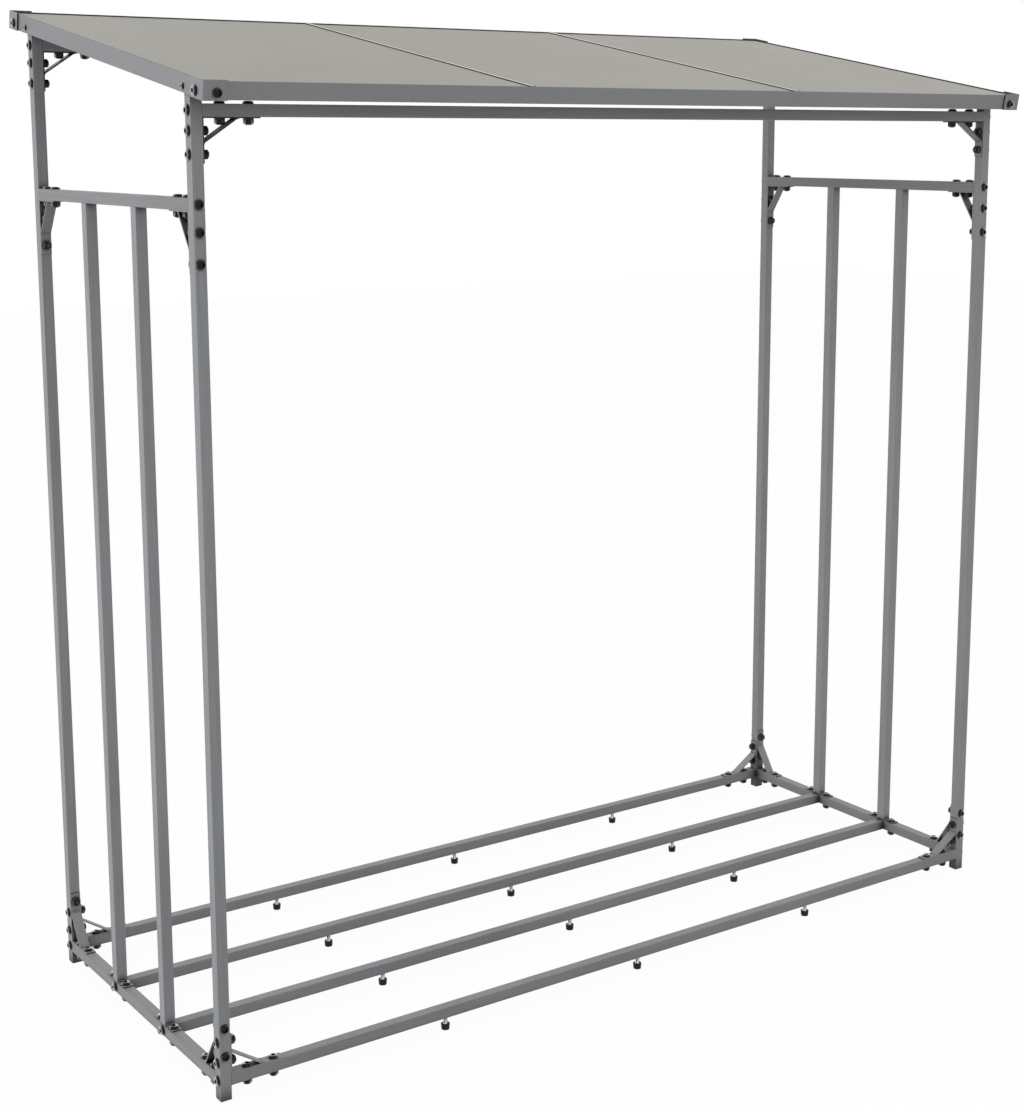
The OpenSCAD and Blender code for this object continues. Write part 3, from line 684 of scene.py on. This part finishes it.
# %% Tree for the lock nut
nut_tree, size = fixing_tree("lock_nut", [
    ("Across Flats", "Float"), ("Hexagon", "Float"), ("Collar", "Float"),
    ("Collar Height", "Float"), ("Bolt", "Float"), ("Bolt End", "Float"), ("Turn", "Float"),
    ("Finish", "Material"), ("End Finish", "Material")])
fields = lathe_fields(nut_tree)
edge = hexagon(nut_tree, fields["angle"], size["Across Flats"])
blank = add(nut_tree, "GeometryNodeMeshCylinder", {"fill_type": "NGON"},
            {"Vertices": ROUND, "Radius": size["Across Flats"], "Depth": size["Hexagon"]})
half_up = add(nut_tree, "ShaderNodeMath", {"operation": "MULTIPLY"}, {0: size["Hexagon"], 1: 0.5})
lift = add(nut_tree, "ShaderNodeCombineXYZ", {}, {"Z": half_up.outputs[0]})
seated = add(nut_tree, "GeometryNodeTransform", {},
             {0: blank.outputs["Mesh"], "Translation": lift.outputs[0]})
shape = add(nut_tree, "ShaderNodeVectorMath", {"operation": "MULTIPLY_ADD"},
            {0: fields["out"], 1: edge, 2: fields["up"]})
prism = add(nut_tree, "GeometryNodeSetPosition", {},
            {"Geometry": seated.outputs[0], "Position": shape.outputs[0]})
mesh, top = prism.outputs[0], blank.outputs["Top"]
# Each ring is a share of a size: how far it rises and how wide it is. Edge is the hexagon itself.
widths = {"Edge": edge, "Collar": size["Collar"], "Bolt": size["Bolt"]}
NUT_RINGS = (("Hexagon", 0.13, "Edge", 0.87), ("Hexagon", 0.0, "Collar", 0.5),
             ("Collar Height", 0.6, "Collar", 0.5), ("Collar Height", 0.4, "Collar", 0.46),
             ("Hexagon", 0.0, "Bolt", 0.5))
END_RINGS = (("Bolt End", 0.6, "Bolt", 0.5), ("Bolt End", 0.4, "Bolt", 0.41))


def nut_rings(mesh, top, rings):
    """Raise the rings of a list, one after another."""
    for rise_of, rise_share, wide_of, wide_share in rings:
        up = add(nut_tree, "ShaderNodeMath", {"operation": "MULTIPLY"},
                 {0: size[rise_of], 1: rise_share})
        wide = add(nut_tree, "ShaderNodeMath", {"operation": "MULTIPLY"},
                   {0: widths[wide_of], 1: wide_share})
        mesh, top = ring(nut_tree, fields, mesh, top, up.outputs[0], wide.outputs[0])
    return mesh, top


mesh, top = nut_rings(mesh, top, NUT_RINGS)
mesh, top = nut_rings(mesh, top, END_RINGS)
marked = add(nut_tree, "GeometryNodeStoreNamedAttribute",
             {"data_type": "BOOLEAN", "domain": "FACE"},
             {0: mesh, "Selection": top, "Name": "bolt_end", "Value": True})
placed = on_marks(nut_tree, size["Geometry"], marked.outputs[0], size["Turn"])
black = add(nut_tree, "GeometryNodeSetMaterial", {}, {0: placed, "Material": size["Finish"]})
ends = add(nut_tree, "GeometryNodeInputNamedAttribute", {"data_type": "BOOLEAN"},
           {"Name": "bolt_end"})
coloured = add(nut_tree, "GeometryNodeSetMaterial", {},
               {0: black.outputs[0], "Selection": ends.outputs[0], "Material": size["End Finish"]})
add(nut_tree, "NodeGroupOutput", {}, {0: coloured.outputs[0]})
print("nut tree:", len(nut_tree.nodes), "nodes")

# %% [markdown]
# ## Where the bolts go
# Every corner repeats one pattern, mirrored left to right and front to back. Through each post run
# the bolts of the two braces and of the rail ends, and through each rail the bolts of its braces.
# Heads sit outside on posts and on top of rails, and nuts sit on the far side. A list of places
# with an axis is the simplest thing to pass to the trees, and the solids' own boxes give most of
# the numbers, so that the bolts follow the frame.

# %% Mark the bolts
BRACE_PLATE = 2 * MM
LONG_LEG = (33 * MM, 82 * MM)
SHORT_LEG = (21 * MM, 57 * MM)
SLAT_PLATE_BOLT = 26 * MM

post_low, post_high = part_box("rear_right_post")
tube = post_high.x - post_low.x
post_x, post_y = post_high.x - tube / 2, post_high.y - tube / 2
rail_low, rail_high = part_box("front_bottom_rail")
floor_under, floor_top = rail_low.z, rail_high.z
upper_under, upper_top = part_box("left_upper_rail")[0].z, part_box("left_upper_rail")[1].z
slat_y = sum(corner.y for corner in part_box("right_rear_slat")) / 2
heads, nuts = [], []


def through(seat, axis, grip=None):
    """Mark a head on its seat, and a nut at the far end of the grip if there is one."""
    heads.append((Vector(seat), Vector(axis)))
    if grip is not None:
        nuts.append((Vector(seat) - Vector(axis) * grip, -Vector(axis)))


grip = tube + BRACE_PLATE
for sx in (-1, 1):
    for sy, top_rail in ((-1, "front_top_rail"), (1, "rear_top_rail")):
        top_under, top_top = (corner.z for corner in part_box(top_rail))
        for z in [floor_top + leg for leg in SHORT_LEG] + [top_under - leg for leg in SHORT_LEG]:
            through((sx * post_high.x, sy * post_y, z), (sx, 0, 0), grip)
        for z in ((floor_under + floor_top) / 2, (top_under + top_top) / 2):
            through((sx * post_high.x, sy * post_y, z), (sx, 0, 0))
        for z in [floor_top + leg for leg in LONG_LEG] + [upper_under - leg for leg in LONG_LEG]:
            through((sx * post_x, sy * post_high.y, z), (0, sy, 0), grip)
        through((sx * post_x, sy * post_high.y, (upper_under + upper_top) / 2), (0, sy, 0))
        for leg in LONG_LEG:
            x = sx * (post_low.x - leg)
            through((x, sy * post_y, floor_top + BRACE_PLATE), (0, 0, 1), grip)
            through((x, sy * post_y, top_top), (0, 0, 1), grip)
        for leg in SHORT_LEG:
            y = sy * (post_low.y - leg)
            through((sx * post_x, y, floor_top + BRACE_PLATE), (0, 0, 1), grip)
            through((sx * post_x, y, upper_top), (0, 0, 1), grip)
        for side in (-1, 1):
            y = sy * slat_y + side * SLAT_PLATE_BOLT
            through((sx * post_x, y, floor_top + BRACE_PLATE), (0, 0, 1), grip)
        through((sx * post_high.x, sy * slat_y, (floor_under + floor_top) / 2), (sx, 0, 0))
print("frame bolts:", len(heads), "with nuts:", len(nuts))

# %% [markdown]
# ## Bolts of the roof
# A steel bracket clips round each roof corner over a rubber pad, with one bolt in each leg, and a
# smaller bolt pins each side edge to its post. They lie in the tilted plane of the roof, so their
# places are first given along and across the roof and then turned by its pitch.

# %% Mark the roof's bolts
ROOF_PITCH = math.radians(10)
ROOF_MIDDLE = 1719.5 * MM
EDGE_OUT = (893.5 * MM, 406.7 * MM)
EDGE_WALL = 1.2 * MM
BRACKET_BUILD = 3 * MM
BRACKET_BOLT = (25 * MM, -3.25 * MM)
SIDE_BOLT_DOWN = -4.75 * MM


def on_roof(x, along, up):
    """A place on the roof's plane: along its slope and square to it."""
    return Vector((x, along * math.cos(ROOF_PITCH) - up * math.sin(ROOF_PITCH),
                   ROOF_MIDDLE + along * math.sin(ROOF_PITCH) + up * math.cos(ROOF_PITCH)))


slope = Vector((0, math.cos(ROOF_PITCH), math.sin(ROOF_PITCH)))
small_heads = []
for sx in (-1, 1):
    for sy in (-1, 1):
        out_x, out_y = EDGE_OUT[0] + BRACKET_BUILD, EDGE_OUT[1] + BRACKET_BUILD
        inset, down = BRACKET_BOLT
        through(on_roof(sx * out_x, sy * (out_y - inset), down), (sx, 0, 0),
                BRACKET_BUILD + EDGE_WALL)
        through(on_roof(sx * (out_x - inset), sy * out_y, down), slope * sy,
                BRACKET_BUILD + EDGE_WALL)
        along = (sy * post_y + SIDE_BOLT_DOWN * math.sin(ROOF_PITCH)) / math.cos(ROOF_PITCH)
        small_heads.append((on_roof(sx * EDGE_OUT[0], along, SIDE_BOLT_DOWN), Vector((sx, 0, 0))))
print("all bolts:", len(heads), "small bolts:", len(small_heads))

# %% [markdown]
# ## Put the fixings on
# A mesh of bare points carries the marks into a tree, with each point's axis as an attribute. Once
# the tree has run, its result is kept as a plain mesh, because instances are lost on export.

# %% Build the bolts and nuts
BOLT = {"Head": 17.6 * MM, "Height": 4.8 * MM, "Rim": 1.2 * MM, "Socket": 7 * MM,
        "Socket Depth": 2.8 * MM, "Shank": 8 * MM, "Shank Length": 3 * MM, "Seed": 3,
        "Finish": black_oxide}
SMALL_BOLT = {"Head": 11 * MM, "Height": 3.3 * MM, "Rim": 0.9 * MM, "Socket": 4 * MM,
              "Socket Depth": 1.9 * MM, "Shank": 6 * MM, "Shank Length": 7 * MM, "Seed": 5,
              "Finish": black_oxide}
NUT = {"Across Flats": 14.6 * MM, "Hexagon": 7.5 * MM, "Collar": 12.4 * MM,
       "Collar Height": 1.3 * MM, "Bolt": 8 * MM, "Bolt End": 0.6 * MM, "Turn": SIXTH / 2,
       "Finish": dry_black, "End Finish": cut_steel}


def grow(name, marks, tree, sizes):
    """Run a tree on a list of marks and keep the result as a plain mesh."""
    points = bpy.data.meshes.new(name + "_marks")
    points.from_pydata([place for place, axis in marks], [], [])
    axes = points.attributes.new("axis", "FLOAT_VECTOR", "POINT")
    for item, (place, axis) in zip(axes.data, marks):
        item.vector = axis
    piece = bpy.data.objects.new(name, points)
    scene.collection.objects.link(piece)
    maker = piece.modifiers.new(name, "NODES")
    maker.node_group = tree
    for socket in tree.interface.items_tree:
        if socket.in_out == "INPUT" and socket.name in sizes:
            maker[socket.identifier] = sizes[socket.name]
    made = piece.evaluated_get(bpy.context.evaluated_depsgraph_get())
    plain = bpy.data.meshes.new_from_object(made)
    piece.modifiers.clear()
    piece.data = plain
    plain.name = name
    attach(piece, "root")
    print(name, len(marks), "marks,", len(plain.polygons), "faces")
    return piece


grow("frame_bolts", heads, bolt_tree, BOLT)
grow("roof_side_bolts", small_heads, bolt_tree, SMALL_BOLT)
grow("frame_nuts", nuts, nut_tree, NUT)

# %% [markdown]
# ## Threaded stems
# Each foot turns on a threaded stem, 8 mm thick, so that the store can be levelled. A screw modifier
# could sweep one thread, but a tree that lays a spiral of V section round a plain core makes all
# twelve at once, and its pitch stays a named size. The spiral's section is a square on its corner,
# half sunk into the core. The threaded stems take the place of the plain solid ones.

# %% Thread the stems
SPIRAL_STEPS = 20
THREAD_DEPTH = 0.5
# The turn, in radians, is where the thread starts round the stem.
STEM = {"Diameter": 8 * MM, "Pitch": 1.25 * MM, "Turn": 11.0, "Finish": zinc}
STEM_NODES = [name for name in frame["nodes"] if name.endswith("foot_stems")]
FEET_IN_ROW = 3

stem_tree, size = fixing_tree("threaded_stem", [
    ("Diameter", "Float"), ("Length", "Float"), ("Pitch", "Float"), ("Turn", "Float"),
    ("Finish", "Material")])
outer = add(stem_tree, "ShaderNodeMath", {"operation": "MULTIPLY"}, {0: size["Diameter"], 1: 0.5})
depth = add(stem_tree, "ShaderNodeMath", {"operation": "MULTIPLY"},
            {0: size["Pitch"], 1: THREAD_DEPTH})
root = add(stem_tree, "ShaderNodeMath", {"operation": "SUBTRACT"},
           {0: outer.outputs[0], 1: depth.outputs[0]})
core = add(stem_tree, "GeometryNodeMeshCylinder", {"fill_type": "NGON"},
           {"Vertices": ROUND, "Radius": root.outputs[0], "Depth": size["Length"]})
half_up = add(stem_tree, "ShaderNodeMath", {"operation": "MULTIPLY"}, {0: size["Length"], 1: 0.5})
lift = add(stem_tree, "ShaderNodeCombineXYZ", {}, {"Z": half_up.outputs[0]})
core = add(stem_tree, "GeometryNodeTransform", {},
           {0: core.outputs["Mesh"], "Translation": lift.outputs[0]})
climb = add(stem_tree, "ShaderNodeMath", {"operation": "SUBTRACT"},
            {0: size["Length"], 1: size["Pitch"]})
turns = add(stem_tree, "ShaderNodeMath", {"operation": "DIVIDE"},
            {0: climb.outputs[0], 1: size["Pitch"]})
spiral = add(stem_tree, "GeometryNodeCurveSpiral", {},
             {"Resolution": SPIRAL_STEPS, "Rotations": turns.outputs[0], "Height": climb.outputs[0],
              "Start Radius": root.outputs[0], "End Radius": root.outputs[0]})
upright = add(stem_tree, "GeometryNodeSetCurveNormal", {"mode": "Z_UP"}, {0: spiral.outputs[0]})
vee = add(stem_tree, "GeometryNodeCurvePrimitiveCircle", {},
          {"Resolution": 4, "Radius": depth.outputs[0]})
ridge = add(stem_tree, "GeometryNodeCurveToMesh", {},
            {0: upright.outputs[0], 1: vee.outputs[0], "Fill Caps": True})
start = add(stem_tree, "ShaderNodeMath", {"operation": "MULTIPLY"}, {0: size["Pitch"], 1: 0.5})
lift = add(stem_tree, "ShaderNodeCombineXYZ", {}, {"Z": start.outputs[0]})
ridge = add(stem_tree, "GeometryNodeTransform", {},
            {0: ridge.outputs[0], "Translation": lift.outputs[0]})
stem = add(stem_tree, "GeometryNodeJoinGeometry", {}, {0: core.outputs[0]})
stem_tree.links.new(ridge.outputs[0], stem.inputs[0])
placed = on_marks(stem_tree, size["Geometry"], stem.outputs[0], size["Turn"])
coloured = add(stem_tree, "GeometryNodeSetMaterial", {}, {0: placed, "Material": size["Finish"]})
add(stem_tree, "NodeGroupOutput", {}, {0: coloured.outputs[0]})

stem_marks = []
for name in STEM_NODES:
    low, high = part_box(name)
    half = STEM["Diameter"] / 2
    for i in range(FEET_IN_ROW):
        x = low.x + half + (high.x - low.x - 2 * half) * i / (FEET_IN_ROW - 1)
        stem_marks.append((Vector((x, (low.y + high.y) / 2, low.z)), Vector((0, 0, 1))))
    STEM["Length"] = high.z - low.z
stems = grow("threaded_foot_stems", stem_marks, stem_tree, STEM)
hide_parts(*STEM_NODES)

# %% [markdown]
# ## Weld beads
# The strut of each brace and the plate under each slat were welded on before the coat. A bead of
# weld fills the corner, a little over 3 mm wide, with a ripple for each dip of the wire. A bead
# could be a bump, but it shows in outline, so it is a short curve with a waving radius, swept into a
# tube that lies half inside the plates. One tree lays all the beads along their marks.

# %% Weld the struts and the slats
# The turn, in radians, is how the bead's many-sided section lies.
BEAD = {"Length": 17 * MM, "Radius": 1.7 * MM, "Ripple": 2.1 * MM, "Turn": 13.0,
        "Finish": coats[Z]}
BEAD_STEPS = 33
BEAD_SIDES = 10
RIPPLE_SHARE = 0.16
STRUT_ON_LONG = 60.5 * MM
STRUT_ON_SHORT = 40.3 * MM

bead_tree, size = fixing_tree("weld_bead", [
    ("Length", "Float"), ("Radius", "Float"), ("Ripple", "Float"), ("Turn", "Float"),
    ("Finish", "Material")])
half = add(bead_tree, "ShaderNodeMath", {"operation": "MULTIPLY"}, {0: size["Length"], 1: 0.5})
back = add(bead_tree, "ShaderNodeMath", {"operation": "MULTIPLY"}, {0: size["Length"], 1: -0.5})
head_end = add(bead_tree, "ShaderNodeCombineXYZ", {}, {"Z": half.outputs[0]})
tail_end = add(bead_tree, "ShaderNodeCombineXYZ", {}, {"Z": back.outputs[0]})
line = add(bead_tree, "GeometryNodeCurvePrimitiveLine", {},
           {"Start": tail_end.outputs[0], "End": head_end.outputs[0]})
line = add(bead_tree, "GeometryNodeResampleCurve", {}, {0: line.outputs[0], "Count": BEAD_STEPS})
run = add(bead_tree, "GeometryNodeSplineParameter")
waves = add(bead_tree, "ShaderNodeMath", {"operation": "DIVIDE"},
            {0: run.outputs["Length"], 1: size["Ripple"]})
waves = add(bead_tree, "ShaderNodeMath", {"operation": "MULTIPLY"},
            {0: waves.outputs[0], 1: 2 * math.pi})
waves = add(bead_tree, "ShaderNodeMath", {"operation": "SINE"}, {0: waves.outputs[0]})
swell = add(bead_tree, "ShaderNodeMath", {"operation": "MULTIPLY_ADD"},
            {0: waves.outputs[0], 1: RIPPLE_SHARE, 2: 1.0 - RIPPLE_SHARE})
section = add(bead_tree, "GeometryNodeCurvePrimitiveCircle", {},
              {"Resolution": BEAD_SIDES, "Radius": size["Radius"]})
waved = add(bead_tree, "GeometryNodeSetCurveRadius", {},
            {0: line.outputs[0], "Radius": swell.outputs[0]})
bead = add(bead_tree, "GeometryNodeCurveToMesh", {},
           {0: waved.outputs[0], 1: section.outputs[0], "Fill Caps": True})
placed = on_marks(bead_tree, size["Geometry"], bead.outputs[0], size["Turn"])
coloured = add(bead_tree, "GeometryNodeSetMaterial", {}, {0: placed, "Material": size["Finish"]})
add(bead_tree, "NodeGroupOutput", {}, {0: coloured.outputs[0]})

bead_marks = []
for sx in (-1, 1):
    for sy, top_rail in ((-1, "front_top_rail"), (1, "rear_top_rail")):
        for base, up in ((floor_top, 1), (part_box(top_rail)[0].z, -1)):
            on_rail = (sx * (post_low.x - STRUT_ON_LONG), sy * post_y, base + up * BRACE_PLATE)
            on_post = (sx * (post_low.x - BRACE_PLATE), sy * post_y, base + up * STRUT_ON_SHORT)
            bead_marks += [(Vector(spot), Vector((0, 1, 0))) for spot in (on_rail, on_post)]
        for base, up in ((floor_top, 1), (upper_under, -1)):
            on_rail = (sx * post_x, sy * (post_low.y - STRUT_ON_SHORT), base + up * BRACE_PLATE)
            on_post = (sx * post_x, sy * (post_low.y - BRACE_PLATE), base + up * STRUT_ON_LONG)
            bead_marks += [(Vector(spot), Vector((1, 0, 0))) for spot in (on_rail, on_post)]
        for side in (-1, 1):
            at_slat = (sx * post_x, sy * slat_y + side * tube / 2, floor_top + BRACE_PLATE)
            bead_marks.append((Vector(at_slat), Vector((1, 0, 0))))
grow("weld_beads", bead_marks, bead_tree, BEAD)
